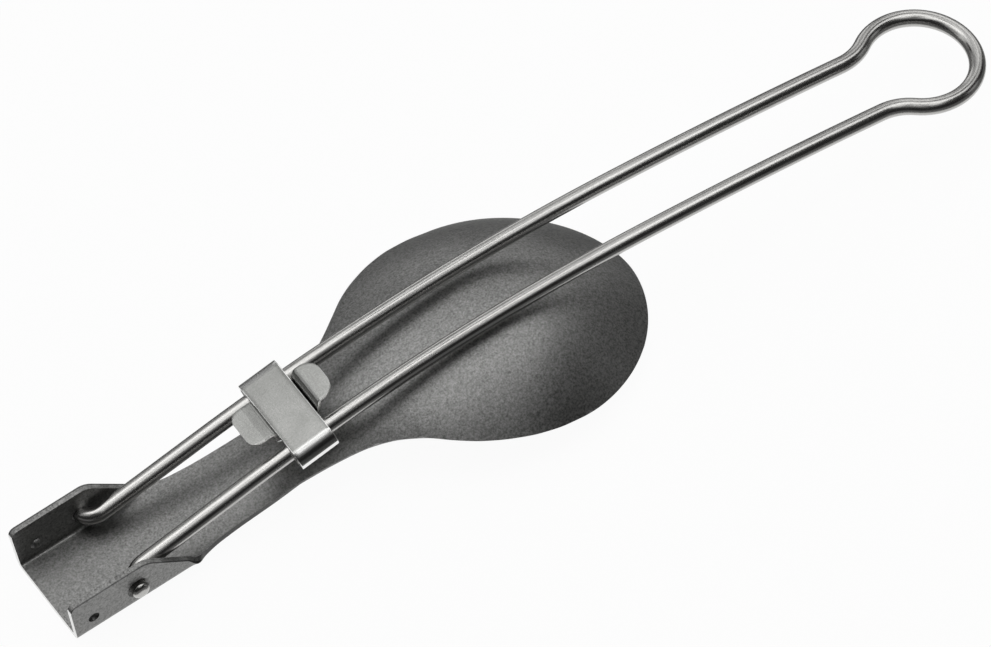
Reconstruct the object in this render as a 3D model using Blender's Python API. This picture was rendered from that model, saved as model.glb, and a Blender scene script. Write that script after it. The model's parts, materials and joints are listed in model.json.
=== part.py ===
"""Folding camp spoon, folded shut and lying on the back of its channel with the bowl's back up.

A stamped sheet head carries a bent wire handle on two ears, and a slide lock runs on the wires.
The head frame has +X from the channel's free end to the bowl's tip, +Z to the bowl's back and the
channel's underside on Z = 0. The whole part is then tilted until it rests on a flat surface.
"""
import math

import bmesh
import bpy
from mathutils import Matrix, Vector

MM = 0.001

# Clearances
SEAT_GAP = 0.3 * MM
RUNNING_GAP = 0.25 * MM
SIDE_PLAY = 0.65 * MM
CUT_OVERRUN = 2.0 * MM

# Sheet head: channel and ears
SHEET = 1.0 * MM
CHANNEL_WIDTH = 16.2 * MM
CHANNEL_LENGTH = 20.4 * MM
EAR_HEIGHT = 8.4 * MM
EAR_TOP_LENGTH = 12.9 * MM
EAR_CORNER_RADIUS = 1.1 * MM
EAR_FLARE = math.radians(2.8)
FOLD_RADIUS = 1.2 * MM
EDGE_STEP = 0.04 * MM
PIVOT_FROM_END = 10.8 * MM
PIVOT_HEIGHT = 3.9 * MM
DIMPLE_FROM_END = 3.2 * MM
DIMPLE_HEIGHT = 3.5 * MM
DIMPLE_RADIUS = 0.85 * MM
DIMPLE_DEPTH = 0.35 * MM

# Sheet head: neck and bowl
NECK_LENGTH = 18.6 * MM
WAIST_WIDTH = 11.6 * MM
BOWL_WIDTH = 39.8 * MM
BOWL_RISE_LENGTH = 38.0 * MM
BOWL_TIP_LENGTH = 21.8 * MM
BOWL_SHOULDER_HEIGHT = 4.2 * MM
BOWL_CROWN_HEIGHT = 8.0 * MM
BOWL_EDGE_DROP = 2.0 * MM
BOWL_TIP_DROP = 7.4 * MM
BOWL_TIP_ROUNDNESS = 1.78
BOWL_WALL_ROUNDNESS = 2.25
NECK_WIDTH_SHARES = ((0.0, 1.0), (0.07, 0.66), (0.14, 0.47), (0.25, 0.34), (0.5, 0.19), (1.0, 0.0))
BOWL_WIDTH_SHARES = ((0.0, 0.0), (0.12, 0.055), (0.25, 0.145), (0.36, 0.275), (0.47, 0.47),
                     (0.55, 0.64), (0.64, 0.79), (0.74, 0.905), (0.84, 0.975), (0.94, 1.0),
                     (1.0, 0.995))
NECK_CROWN_SHARES = ((0.0, 0.0), (0.3, 0.0), (0.7, 0.05), (1.0, 0.16))
BOWL_CROWN_SHARES = ((0.0, 0.16), (0.15, 0.34), (0.29, 0.55), (0.45, 0.76), (0.58, 0.88),
                     (0.7, 0.95), (0.82, 0.99), (0.92, 1.0), (1.0, 0.985))
NECK_EDGE_SHARES = ((0.0, 0.0), (0.5, 0.0), (0.8, 0.09), (1.0, 0.2))
BOWL_EDGE_SHARES = ((0.0, 0.2), (0.15, 0.55), (0.29, 0.83), (0.4, 0.98), (0.46, 1.0),
                    (0.54, 0.9), (0.64, 0.62), (0.76, 0.3))

# Wire handle
WIRE = 2.5 * MM
LEG_SPACING_AT_EARS = 10.9 * MM
LEG_SPACING = 10.5 * MM
LEG_TAPER_LENGTH = 48.0 * MM
EAR_BEND_RADIUS = 2.6 * MM
STUB_LENGTH = 1.1 * MM
STUB_FLARE = 0.12 * MM
LOOP_RADIUS = 8.55 * MM
LOOP_NECK_RADIUS = 8.0 * MM
HANDLE_REACH = 139.9 * MM
ROOT_ANGLE = math.radians(8.9)
ROOT_STRAIGHT = 20.0 * MM
ARCH_RADIUS = 238.0 * MM
ARCH_LENGTH = 68.5 * MM
TAIL_RADIUS = 560.0 * MM

# Slide lock
LOCK_SHEET = 0.5 * MM
LOCK_LENGTH = 6.4 * MM
LOCK_FROM_PIVOT = 31.8 * MM
LOCK_TRAVEL = 15.0 * MM
LOCK_BEND_RADIUS = 0.75 * MM
LOCK_UNDER_ROOM = 1.2 * MM
LOCK_LIP = 3.0 * MM
TONGUE_WIDTH = 6.9 * MM
TAB_RISE = 1.45 * MM
FORE_TAB_LENGTH = 2.9 * MM
AFT_TAB_LENGTH = 2.1 * MM
FORE_RISER_RUN = 0.7 * MM
AFT_RISER_RUN = 1.6 * MM
RISER_START = 0.45 * MM
TAB_BEND_RADIUS = 0.5 * MM
FORE_TAB_ROUNDING = 2.4 * MM
AFT_TAB_ROUNDING = 1.7 * MM

# Mesh fineness
BOWL_COLUMNS = 20
CHANNEL_ROWS = 3
NECK_ROWS = 8
BOWL_ROWS = 20
TIP_ROWS = 12
WIRE_SIDES_LEVEL = 4
WIRE_STEP = 2.6 * MM
ARC_STEP = math.radians(11.25)
HOLE_SIDES = 24
DIMPLE_SIDES = 12

CHANNEL_HALF = CHANNEL_WIDTH / 2
WAIST_HALF = WAIST_WIDTH / 2
BOWL_HALF = BOWL_WIDTH / 2
WAIST_X = CHANNEL_LENGTH + NECK_LENGTH
WIDEST_X = WAIST_X + BOWL_RISE_LENGTH
WIRE_RADIUS = WIRE / 2


def clear_scene():
    """Remove whatever the file holds."""
    for item in list(bpy.data.objects):
        bpy.data.objects.remove(item, do_unlink=True)


def metal(name, colour, roughness):
    """A metallic Principled material."""
    material = bpy.data.materials.new(name)
    material.use_nodes = True
    shader = material.node_tree.nodes["Principled BSDF"]
    shader.inputs["Base Color"].default_value = (*colour, 1.0)
    shader.inputs["Roughness"].default_value = roughness
    shader.inputs["Metallic"].default_value = 1.0
    return material


def add_object(name, data, parent, material=None):
    """Link an object with its data to the scene under a parent."""
    item = bpy.data.objects.new(name, data)
    bpy.context.scene.collection.objects.link(item)
    item.parent = parent
    if material is not None:
        data.materials.append(material)
    return item


def add_empty(name, parent, location, tilt):
    """A frame turned about its Y axis."""
    item = add_object(name, None, parent)
    item.location = location
    item.rotation_euler = (0, tilt, 0)
    return item


def hide_tool(item):
    """Mark an object as a shape that only cuts or joins."""
    item.hide_render = True
    item.display_type = "WIRE"


def mesh_from(builder, name):
    """Turn a bmesh into a mesh with outward faces."""
    bmesh.ops.recalc_face_normals(builder, faces=builder.faces)
    mesh = bpy.data.meshes.new(name)
    builder.to_mesh(mesh)
    builder.free()
    return mesh


def smooth_curve(knots):
    """A curve through the knots that never overshoots them."""
    xs = [knot[0] for knot in knots]
    ys = [knot[1] for knot in knots]
    steps = [(ys[i + 1] - ys[i]) / (xs[i + 1] - xs[i]) for i in range(len(xs) - 1)]
    slopes = [steps[0]]
    for before, after in zip(steps, steps[1:]):
        slopes.append(0 if before * after <= 0 else 2 * before * after / (before + after))
    slopes.append(steps[-1])

    def value(x):
        if x <= xs[0]:
            return ys[0]
        if x >= xs[-1]:
            return ys[-1]
        i = max(j for j in range(len(xs) - 1) if xs[j] <= x)
        width = xs[i + 1] - xs[i]
        t = (x - xs[i]) / width
        rest = 1 - t
        start = ys[i] * (1 + 2 * t) * rest * rest + slopes[i] * width * t * rest * rest
        end = ys[i + 1] * (3 - 2 * t) * t * t - slopes[i + 1] * width * t * t * rest
        return start + end

    return value


neck_width = smooth_curve(NECK_WIDTH_SHARES)
bowl_width = smooth_curve(BOWL_WIDTH_SHARES)
neck_crown = smooth_curve(NECK_CROWN_SHARES)
bowl_crown = smooth_curve(BOWL_CROWN_SHARES)
neck_edge = smooth_curve(NECK_EDGE_SHARES)
bowl_edge = smooth_curve(BOWL_EDGE_SHARES + ((1.0, -BOWL_EDGE_DROP / (BOWL_SHOULDER_HEIGHT - SHEET)),))


def half_width(x):
    """Half the blank's width along the neck and the rear of the bowl."""
    if x < WAIST_X:
        share = neck_width((x - CHANNEL_LENGTH) / NECK_LENGTH)
        return WAIST_HALF + share * (CHANNEL_HALF - EDGE_STEP - WAIST_HALF)
    share = bowl_width((x - WAIST_X) / BOWL_RISE_LENGTH)
    return WAIST_HALF + share * (BOWL_HALF - WAIST_HALF)


def edge_height(x):
    """Height of the outer face at the blank's edge."""
    rise = BOWL_SHOULDER_HEIGHT - SHEET
    if x < WAIST_X:
        return SHEET + rise * neck_edge((x - CHANNEL_LENGTH) / NECK_LENGTH)
    return SHEET + rise * bowl_edge((x - WAIST_X) / BOWL_RISE_LENGTH)


def crown_height(x):
    """Height of the outer face on the centre line."""
    rise = BOWL_CROWN_HEIGHT - SHEET
    if x < WAIST_X:
        return SHEET + rise * neck_crown((x - CHANNEL_LENGTH) / NECK_LENGTH)
    return SHEET + rise * bowl_crown((x - WAIST_X) / BOWL_RISE_LENGTH)


def rear_point(x, across):
    """Outer face of the neck and the rear of the bowl; across runs from -1 to 1."""
    edge = edge_height(x)
    dome = (crown_height(x) - edge) * (1 - abs(across) ** BOWL_WALL_ROUNDNESS)
    return Vector((x, across * half_width(x), edge + dome))


def tip_point(along, across):
    """Outer face ahead of the widest row; along runs from 0 there to 1 on the rim."""
    u = along * math.sqrt(1 - across * across / 2)
    v = across * math.sqrt(1 - along * along / 2)
    radius = math.hypot(u, v)
    if radius > 0:
        sharp = (abs(u) ** BOWL_TIP_ROUNDNESS + abs(v) ** BOWL_TIP_ROUNDNESS)
        scale = radius / sharp ** (1 / BOWL_TIP_ROUNDNESS)
        u *= scale
        v *= scale
    edge = edge_height(WIDEST_X) - BOWL_TIP_DROP * u + BOWL_EDGE_DROP * u
    depth = crown_height(WIDEST_X) - edge_height(WIDEST_X)
    dome = depth * (1 - radius ** BOWL_WALL_ROUNDNESS)
    return Vector((WIDEST_X + u * BOWL_TIP_LENGTH, v * half_width(WIDEST_X), edge + dome))


def blank_rows():
    """Rows of points over the outer face, from the channel's end to the bowl's tip."""
    shares = [2 * i / BOWL_COLUMNS - 1 for i in range(BOWL_COLUMNS + 1)]
    rows = []
    buried_half = CHANNEL_HALF - SHEET / 2
    for i in range(CHANNEL_ROWS):
        x = (CHANNEL_LENGTH - SHEET) * i / (CHANNEL_ROWS - 1)
        rows.append([Vector((x, share * buried_half, SHEET)) for share in shares])
    for i in range(NECK_ROWS):
        x = CHANNEL_LENGTH + NECK_LENGTH * (i / NECK_ROWS) ** 1.4
        rows.append([rear_point(x, share) for share in shares])
    for i in range(BOWL_ROWS):
        x = WAIST_X + BOWL_RISE_LENGTH * i / BOWL_ROWS
        rows.append([rear_point(x, share) for share in shares])
    for i in range(TIP_ROWS + 1):
        along = math.sin(math.pi / 2 * i / TIP_ROWS)
        rows.append([tip_point(along, share) for share in shares])
    return rows


def skin_rows(rows, name):
    """A sheet of faces over rows of points."""
    builder = bmesh.new()
    lines = [[builder.verts.new(point) for point in row] for row in rows]
    for low, high in zip(lines, lines[1:]):
        for i in range(len(low) - 1):
            builder.faces.new((low[i], high[i], high[i + 1], low[i + 1]))
    return mesh_from(builder, name)


def ear_outline():
    """Side view of an ear: X along the channel, Z up."""
    points = [(0, 0), (CHANNEL_LENGTH, 0), (CHANNEL_LENGTH, SHEET), (EAR_TOP_LENGTH, EAR_HEIGHT)]
    centre = (EAR_CORNER_RADIUS, EAR_HEIGHT - EAR_CORNER_RADIUS)
    steps = round(math.pi / 2 / ARC_STEP)
    for i in range(steps + 1):
        turn = math.pi / 2 * (1 + i / steps)
        points.append((centre[0] + EAR_CORNER_RADIUS * math.cos(turn),
                       centre[1] + EAR_CORNER_RADIUS * math.sin(turn)))
    return points


def build_ears(parent):
    """Both ears, leaning out a little from the channel's floor."""
    builder = bmesh.new()
    for side in (-1, 1):
        corners = [builder.verts.new((x, side * (CHANNEL_HALF - SHEET), z)) for x, z in ear_outline()]
        face = builder.faces.new(corners)
        grown = bmesh.ops.extrude_face_region(builder, geom=[face])
        moved = [part for part in grown["geom"] if isinstance(part, bmesh.types.BMVert)]
        bmesh.ops.translate(builder, verts=moved, vec=(0, side * SHEET, 0))
        low_edges = [edge for edge in builder.edges
                     if all(vert in moved and vert.co.z == 0 for vert in edge.verts)]
        bmesh.ops.bevel(builder, geom=low_edges, offset=FOLD_RADIUS, segments=4, profile=0.5,
                        affect="EDGES", material=-1)
    for vert in builder.verts:
        vert.co.y += math.copysign(vert.co.z * math.tan(EAR_FLARE), vert.co.y)
    ears = add_object("ear_shapes", mesh_from(builder, "ear_shapes"), parent)
    hide_tool(ears)
    return ears


def build_balls(name, parent, inset):
    """A ball at each dimple, its centre set in from the ear's inner face."""
    lean = DIMPLE_HEIGHT * math.tan(EAR_FLARE)
    ball = dimple_ball_radius()
    builder = bmesh.new()
    for side in (-1, 1):
        place = Vector((DIMPLE_FROM_END, side * (CHANNEL_HALF - SHEET + lean + inset), DIMPLE_HEIGHT))
        turn = Matrix.Rotation(math.pi / 2, 4, "X")
        bmesh.ops.create_uvsphere(builder, u_segments=DIMPLE_SIDES, v_segments=DIMPLE_SIDES,
                                  radius=ball, matrix=Matrix.Translation(place) @ turn)
    item = add_object(name, mesh_from(builder, name), parent)
    hide_tool(item)
    return item


def dimple_ball_radius():
    """Radius of the ball whose cap has the dimple's radius and depth."""
    return (DIMPLE_RADIUS ** 2 + DIMPLE_DEPTH ** 2) / (2 * DIMPLE_DEPTH)


def build_pin_cutter(parent):
    """A rod through both ears on the pivot line."""
    builder = bmesh.new()
    turn = Matrix.Rotation(math.pi / 2, 4, "X")
    place = Matrix.Translation((PIVOT_FROM_END, 0, PIVOT_HEIGHT))
    radius = WIRE_RADIUS + SEAT_GAP
    bmesh.ops.create_cone(builder, cap_ends=True, segments=HOLE_SIDES, radius1=radius,
                          radius2=radius, depth=CHANNEL_WIDTH + CUT_OVERRUN, matrix=place @ turn)
    item = add_object("pin_holes", mesh_from(builder, "pin_holes"), parent)
    hide_tool(item)
    return item


def combine(item, tool, operation):
    """Join a shape to an object, or cut it out."""
    modifier = item.modifiers.new(tool.name, "BOOLEAN")
    modifier.operation = operation
    modifier.solver = "EXACT"
    modifier.object = tool


def build_head(parent, material):
    """Bowl, neck and channel from one sheet, with its two ears."""
    head = add_object("spoon_head", skin_rows(blank_rows(), "spoon_head"), parent, material)
    wall = head.modifiers.new("sheet", "SOLIDIFY")
    wall.thickness = SHEET
    wall.offset = -1
    wall.use_even_offset = True
    combine(head, build_ears(parent), "UNION")
    ball = dimple_ball_radius()
    combine(head, build_balls("dimple_bumps", parent, ball - DIMPLE_DEPTH), "UNION")
    combine(head, build_balls("dimple_dents", parent, SHEET + ball - DIMPLE_DEPTH), "DIFFERENCE")
    combine(head, build_pin_cutter(parent), "DIFFERENCE")
    head.data.shade_smooth()
    head.data.set_sharp_from_angle(angle=math.radians(35))
    return head


def arch_point(u):
    """Wire centre line seen from the side, u along it from the pivot; also its slope."""
    x = min(u, ROOT_STRAIGHT) * math.cos(ROOT_ANGLE)
    z = min(u, ROOT_STRAIGHT) * math.sin(ROOT_ANGLE)
    slope = ROOT_ANGLE
    stretches = ((ROOT_STRAIGHT, ARCH_LENGTH, ARCH_RADIUS),
                 (ROOT_STRAIGHT + ARCH_LENGTH, HANDLE_REACH, TAIL_RADIUS))
    for start, length, radius in stretches:
        run = min(max(u - start, 0), length)
        after = slope - run / radius
        x += radius * (math.sin(slope) - math.sin(after))
        z += radius * (math.cos(after) - math.cos(slope))
        slope = after
    return x, z, slope


def arc_points(centre, radius, start, end):
    """Points along an arc in the wire's flat plan."""
    steps = max(2, round(abs(end - start) / ARC_STEP))
    turns = [start + (end - start) * i / steps for i in range(steps + 1)]
    return [(centre[0] + radius * math.cos(turn), centre[1] + radius * math.sin(turn))
            for turn in turns]


def line_points(start, end):
    """Points between two ends, both left out."""
    steps = max(1, round(math.dist(start, end) / WIRE_STEP))
    return [(start[0] + (end[0] - start[0]) * i / steps, start[1] + (end[1] - start[1]) * i / steps)
            for i in range(1, steps)]


def stub_end():
    """Distance of the peened end from the centre plane."""
    lean = PIVOT_HEIGHT * math.tan(EAR_FLARE)
    return CHANNEL_HALF + lean + STUB_LENGTH


def wire_plan():
    """Half the wire's flat plan, from the peened end to the loop's far point."""
    near_half = LEG_SPACING_AT_EARS / 2
    half = LEG_SPACING / 2
    bend_centre = (EAR_BEND_RADIUS, near_half + EAR_BEND_RADIUS)
    bend = arc_points(bend_centre, EAR_BEND_RADIUS, math.pi, math.pi * 3 / 2)
    reach = LOOP_RADIUS + LOOP_NECK_RADIUS
    neck_centre_y = half + LOOP_NECK_RADIUS
    neck_centre = (HANDLE_REACH - math.sqrt(reach ** 2 - neck_centre_y ** 2), neck_centre_y)
    lean = math.atan2(neck_centre_y, HANDLE_REACH - neck_centre[0])
    neck = arc_points(neck_centre, LOOP_NECK_RADIUS, -math.pi / 2, -lean)
    loop = arc_points((HANDLE_REACH, 0), LOOP_RADIUS, math.pi - lean, 0)
    taper_end = (EAR_BEND_RADIUS + LEG_TAPER_LENGTH, half)
    plan = [(0, bend[0][1] + STUB_FLARE)] + bend
    plan += line_points(bend[-1], taper_end) + [taper_end] + line_points(taper_end, neck[0])
    return plan + neck + loop[1:]


def wire_path():
    """The wire's whole centre line with the share of its radius at each point."""
    tip = stub_end()
    face = tip - STUB_LENGTH
    head = [(tip, 0.45), (tip - STUB_FLARE, 0.8), (tip - 3 * STUB_FLARE, 1 + STUB_FLARE / WIRE_RADIUS),
            (face + 2 * STUB_FLARE, 1 + STUB_FLARE / WIRE_RADIUS / 2), (face + STUB_FLARE, 1.0)]
    half = [(0, y, 0, share) for y, share in head]
    for u, y in wire_plan():
        x, z, _ = arch_point(u)
        half.append((x, y, z, 1.0))
    far = [(x, -y, z, share) for x, y, z, share in reversed(half[:-1])]
    return half + far


def build_handle(pivot, material):
    """The bent wire: peened ends in the ears, two legs and a closed loop."""
    path = wire_path()
    data = bpy.data.curves.new("wire_handle", "CURVE")
    data.dimensions = "3D"
    spline = data.splines.new("POLY")
    spline.points.add(len(path) - 1)
    for point, (x, y, z, share) in zip(spline.points, path):
        point.co = (x, y, z, 1)
        point.radius = share
    data.bevel_depth = WIRE_RADIUS
    data.bevel_resolution = WIRE_SIDES_LEVEL
    data.use_fill_caps = True
    data.twist_mode = "MINIMUM"
    return add_object("wire_handle", data, pivot, material)


def rounded_path(corners, radius):
    """A flat path with each inner corner turned into an arc."""
    path = [Vector(corners[0])]
    for before, corner, after in zip(corners, corners[1:], corners[2:]):
        corner = Vector(corner)
        back = (Vector(before) - corner).normalized()
        ahead = (Vector(after) - corner).normalized()
        half = back.angle(ahead) / 2
        trim = radius / math.tan(half)
        centre = corner + (back + ahead).normalized() * (radius / math.sin(half))
        start = corner + back * trim - centre
        sweep = start.angle_signed(corner + ahead * trim - centre)
        steps = max(2, round(abs(sweep) / (2 * ARC_STEP)))
        for i in range(steps + 1):
            turn = Matrix.Rotation(-sweep * i / steps, 2)
            path.append(centre + turn @ start)
    path.append(Vector(corners[-1]))
    return path


def sleeve_outline():
    """Middle line of the sleeve's wall across the wires: Y across, Z up."""
    wall = LOCK_SHEET / 2
    side = lock_leg_half() + WIRE_RADIUS + SIDE_PLAY + wall
    top = WIRE_RADIUS + RUNNING_GAP + wall
    low = -(WIRE_RADIUS + RUNNING_GAP + LOCK_UNDER_ROOM + wall)
    lip = side - LOCK_LIP
    corners = [(-lip, low), (-side, low), (-side, top), (side, top), (side, low), (lip, low)]
    return rounded_path(corners, LOCK_BEND_RADIUS)


def lock_leg_half():
    """Distance of each wire from the centre plane where the lock sits."""
    share = min(1, (LOCK_FROM_PIVOT - EAR_BEND_RADIUS) / LEG_TAPER_LENGTH)
    return (LEG_SPACING_AT_EARS + share * (LEG_SPACING - LEG_SPACING_AT_EARS)) / 2


def thicken(item):
    """Give a surface the lock's wall, half to each side."""
    wall = item.modifiers.new("wall", "SOLIDIFY")
    wall.thickness = LOCK_SHEET
    wall.offset = 0
    wall.use_even_offset = True
    item.data.shade_smooth()
    item.data.set_sharp_from_angle(angle=math.radians(35))
    return item


def build_sleeve(seat, material):
    """A flat top, two walls outside the wires and a lip under each wire."""
    outline = sleeve_outline()
    half = LOCK_LENGTH / 2
    rows = [[Vector((x, y, z)) for y, z in outline] for x in (-half, half)]
    return thicken(add_object("lock_sleeve", skin_rows(rows, "lock_sleeve"), seat, material))


def tongue_outline():
    """Middle line of the tongue from its aft tab to its fore tab: X along, Z up."""
    half = LOCK_LENGTH / 2
    under = WIRE_RADIUS + RUNNING_GAP - SEAT_GAP - LOCK_SHEET / 2
    tab = under + SEAT_GAP + LOCK_SHEET + TAB_RISE
    aft = -(half + RISER_START)
    fore = half + RISER_START
    corners = [(aft - AFT_RISER_RUN - AFT_TAB_LENGTH, tab), (aft - AFT_RISER_RUN, tab), (aft, under),
               (fore, under), (fore + FORE_RISER_RUN, tab),
               (fore + FORE_RISER_RUN + FORE_TAB_LENGTH, tab)]
    return rounded_path(corners, TAB_BEND_RADIUS)


def tab_half_width(distance, rounding):
    """Half the tab's width at a distance from its tip."""
    inside = max(0, rounding - distance)
    return TONGUE_WIDTH / 2 - rounding + math.sqrt(rounding ** 2 - inside ** 2)


def build_tongue(seat, material):
    """A strip under the sleeve's top with a raised thumb tab at each end."""
    outline = tongue_outline()
    first, last = outline[0], outline[-1]
    columns = [2 * i / 8 - 1 for i in range(9)]
    splits = [AFT_TAB_ROUNDING * (1 - math.cos(math.pi / 2 * i / 5)) for i in range(1, 5)]
    path = [first] + [first + Vector((cut, 0)) for cut in splits] + outline[1:-1]
    splits = [FORE_TAB_ROUNDING * (1 - math.cos(math.pi / 2 * i / 5)) for i in range(4, 0, -1)]
    path += [last - Vector((cut, 0)) for cut in splits] + [last]
    rows = []
    for point in path:
        half = min(tab_half_width(point.x - first.x, AFT_TAB_ROUNDING),
                   tab_half_width(last.x - point.x, FORE_TAB_ROUNDING))
        rows.append([Vector((point.x, share * half, point.y)) for share in columns])
    return thicken(add_object("lock_tongue", skin_rows(rows, "lock_tongue"), seat, material))


def world_corners(items):
    """Lowest and highest corner of the shapes as they are seen."""
    bpy.context.view_layer.update()
    shapes = bpy.context.evaluated_depsgraph_get()
    points = []
    for item in items:
        shape = item.evaluated_get(shapes)
        mesh = shape.to_mesh()
        points += [shape.matrix_world @ vert.co for vert in mesh.vertices]
        shape.to_mesh_clear()
    low = Vector([min(point[axis] for point in points) for axis in range(3)])
    high = Vector([max(point[axis] for point in points) for axis in range(3)])
    return low, high


def resting_tilt(head):
    """Angle below the channel's underside at which the bowl's rim touches the ground."""
    bpy.context.view_layer.update()
    shapes = bpy.context.evaluated_depsgraph_get()
    shape = head.evaluated_get(shapes)
    mesh = shape.to_mesh()
    tilt = max(math.atan2(-vert.co.z, vert.co.x) for vert in mesh.vertices if vert.co.x > WAIST_X)
    shape.to_mesh_clear()
    return tilt


def main():
    clear_scene()
    titanium = metal("blasted_titanium", (0.16, 0.155, 0.145), 0.48)
    wire = metal("brushed_wire", (0.42, 0.41, 0.39), 0.28)
    steel = metal("satin_steel", (0.58, 0.58, 0.56), 0.36)
    ground = add_empty("ground", None, (0, 0, 0), 0)
    head = build_head(ground, titanium)
    pivot = add_empty("handle_pivot", ground, (PIVOT_FROM_END, 0, PIVOT_HEIGHT), 0)
    handle = build_handle(pivot, wire)
    x, z, _ = arch_point(LOCK_FROM_PIVOT)
    stop_x, stop_z, _ = arch_point(LOCK_FROM_PIVOT - LOCK_TRAVEL)
    slide_slope = math.atan2(z - stop_z, x - stop_x)
    seat = add_empty("lock_seat", pivot, (x, 0, z), -slide_slope)
    sleeve = build_sleeve(seat, steel)
    tongue = build_tongue(seat, steel)
    ground.rotation_euler = (0, -resting_tilt(head), 0)
    low, high = world_corners([head, handle, sleeve, tongue])
    ground.location = (-(low.x + high.x) / 2, -(low.y + high.y) / 2, -low.z)
    bpy.context.view_layer.update()


main()
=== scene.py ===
"""Folding camp spoon, folded shut, lying on a pale floor with the bowl's back up."""
import json
import math

import bmesh
import bpy
from mathutils import Matrix, Vector


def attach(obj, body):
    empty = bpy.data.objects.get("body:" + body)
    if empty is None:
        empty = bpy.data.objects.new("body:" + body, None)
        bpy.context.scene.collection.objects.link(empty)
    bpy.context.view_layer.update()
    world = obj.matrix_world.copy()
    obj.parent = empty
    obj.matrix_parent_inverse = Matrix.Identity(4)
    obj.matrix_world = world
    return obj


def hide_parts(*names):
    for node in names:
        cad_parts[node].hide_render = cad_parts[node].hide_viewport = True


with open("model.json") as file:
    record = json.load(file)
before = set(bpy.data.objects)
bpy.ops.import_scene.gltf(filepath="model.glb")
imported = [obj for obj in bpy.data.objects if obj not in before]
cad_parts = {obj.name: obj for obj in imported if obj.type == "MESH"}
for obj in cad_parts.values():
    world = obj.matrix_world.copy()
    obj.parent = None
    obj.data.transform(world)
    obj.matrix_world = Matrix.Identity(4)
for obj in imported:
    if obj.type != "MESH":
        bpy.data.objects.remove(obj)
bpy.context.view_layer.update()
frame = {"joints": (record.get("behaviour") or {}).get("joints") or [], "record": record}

MM = 0.001

# Kinds of face on a bent sheet: 0 for its broad faces, then these
CUT_EDGE = 1
ROUNDING = 2
FACE_KINDS = 3

# How a face looks: 0 for its piece's own finish, then these: the pale colour of cut metal, which on
# the sleeve also serves as a painted highlight, and a painted dark edge shade
BARE_AND_HIGHLIGHT = 1.0
PAINTED_SHADE = -1.0

# Edges: past which angles in degrees they are rounded or stay sharp in the shading
ROUNDED_PAST = 50
SHEET_SHARP_PAST = 40
WIRE_SHARP_PAST = 50
ROUNDING_SEGMENTS = 3

# Sheet head, in the head's own frame: X from the channel's free end, Z up
SHEET = 1.0 * MM
CHANNEL_HALF = 8.1 * MM
CHANNEL_LENGTH = 20.4 * MM
EAR_HEIGHT = 8.4 * MM
EAR_TOP_LENGTH = 12.9 * MM
EAR_CORNER_RADIUS = 1.1 * MM
EAR_FLARE = math.radians(2.8)
FOLD_MID_RADIUS = 0.95 * MM
UNFOLD_START = 19.0 * MM
UNFOLD_END = 22.2 * MM
EDGE_STEP = 0.04 * MM
PIVOT_FROM_END = 10.8 * MM
PIVOT_HEIGHT = 3.9 * MM
PIVOT_HOLE_RADIUS = 1.31 * MM
PIVOT_SINK_RADIUS = 1.85 * MM
PIVOT_SINK_DEPTH = 0.4 * MM
DIMPLE_FROM_END = 3.2 * MM
DIMPLE_HEIGHT = 3.5 * MM
DIMPLE_RADIUS = 0.88 * MM
DIMPLE_DEPTH = 0.5 * MM
DIMPLE_FLOOR_SHARE = 0.3
DIMPLE_WALL_SHARE = 0.85
PUNCH_REACH = 0.75 * MM
EAR_BEND_ROUNDING = 1.1 * MM
FREE_END_REACH = 0.1 * MM
# Width of the painted dark edge shade beside the ears' outer faces, and the run over which it grows
# ahead of the channel
EDGE_LINE_WIDTH = 0.25 * MM
EDGE_LINE_FADE = 2.0 * MM
SEAM_REACH = 6.0 * MM
DOME_EASING_REACH = 9.0 * MM
DOME_EASING_STEPS = 10
NECK_LENGTH = 18.6 * MM
WAIST_HALF = 6.1 * MM
BOWL_HALF = 20.3 * MM
BOWL_RISE_LENGTH = 38.0 * MM
BOWL_TIP_LENGTH = 21.3 * MM
BOWL_SHOULDER_HEIGHT = 4.2 * MM
BOWL_CROWN_HEIGHT = 8.0 * MM
BOWL_EDGE_DROP = 2.7 * MM
BOWL_TIP_DROP = 7.2 * MM
BOWL_TIP_ROUNDNESS = 1.87
BOWL_WALL_ROUNDNESS = 2.4
NECK_WIDTH_SHARES = ((0.0, 1.0), (0.07, 0.66), (0.14, 0.47), (0.25, 0.28), (0.5, 0.1), (1.0, 0.0))
BOWL_WIDTH_SHARES = ((0.0, 0.0), (0.12, 0.055), (0.25, 0.145), (0.36, 0.275), (0.47, 0.47),
                     (0.55, 0.64), (0.64, 0.79), (0.74, 0.905), (0.84, 0.975), (0.94, 1.0),
                     (1.0, 0.995))
NECK_CROWN_SHARES = ((0.0, 0.0), (0.3, 0.0), (0.7, 0.05), (1.0, 0.16))
BOWL_CROWN_SHARES = ((0.0, 0.16), (0.15, 0.34), (0.29, 0.55), (0.45, 0.76), (0.58, 0.88),
                     (0.7, 0.95), (0.82, 0.99), (0.92, 1.0), (1.0, 0.985))
NECK_EDGE_SHARES = ((0.0, 0.0), (0.5, 0.0), (0.8, 0.02), (1.0, 0.08))
BOWL_EDGE_SHARES = ((0.0, 0.08), (0.15, 0.4), (0.29, 0.72), (0.4, 0.88), (0.46, 0.88),
                    (0.54, 0.72), (0.64, 0.4), (0.76, 0.02))
RIM_BEVEL = 0.2 * MM
WELD_REACH = 0.002 * MM
WAIST_X = CHANNEL_LENGTH + NECK_LENGTH
WIDEST_X = WAIST_X + BOWL_RISE_LENGTH
FOLD_TURN = math.pi / 2 - EAR_FLARE
FOLD_CENTRE_Z = SHEET / 2 + FOLD_MID_RADIUS
FOLD_CENTRE_Y = (CHANNEL_HALF - SHEET / 2 + FOLD_CENTRE_Z * math.tan(EAR_FLARE)
                 - FOLD_MID_RADIUS / math.cos(EAR_FLARE))
FLOOR_REACH = FOLD_CENTRE_Y + FOLD_MID_RADIUS * FOLD_TURN
PIN_REACH = 1.5 * CHANNEL_HALF

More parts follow.
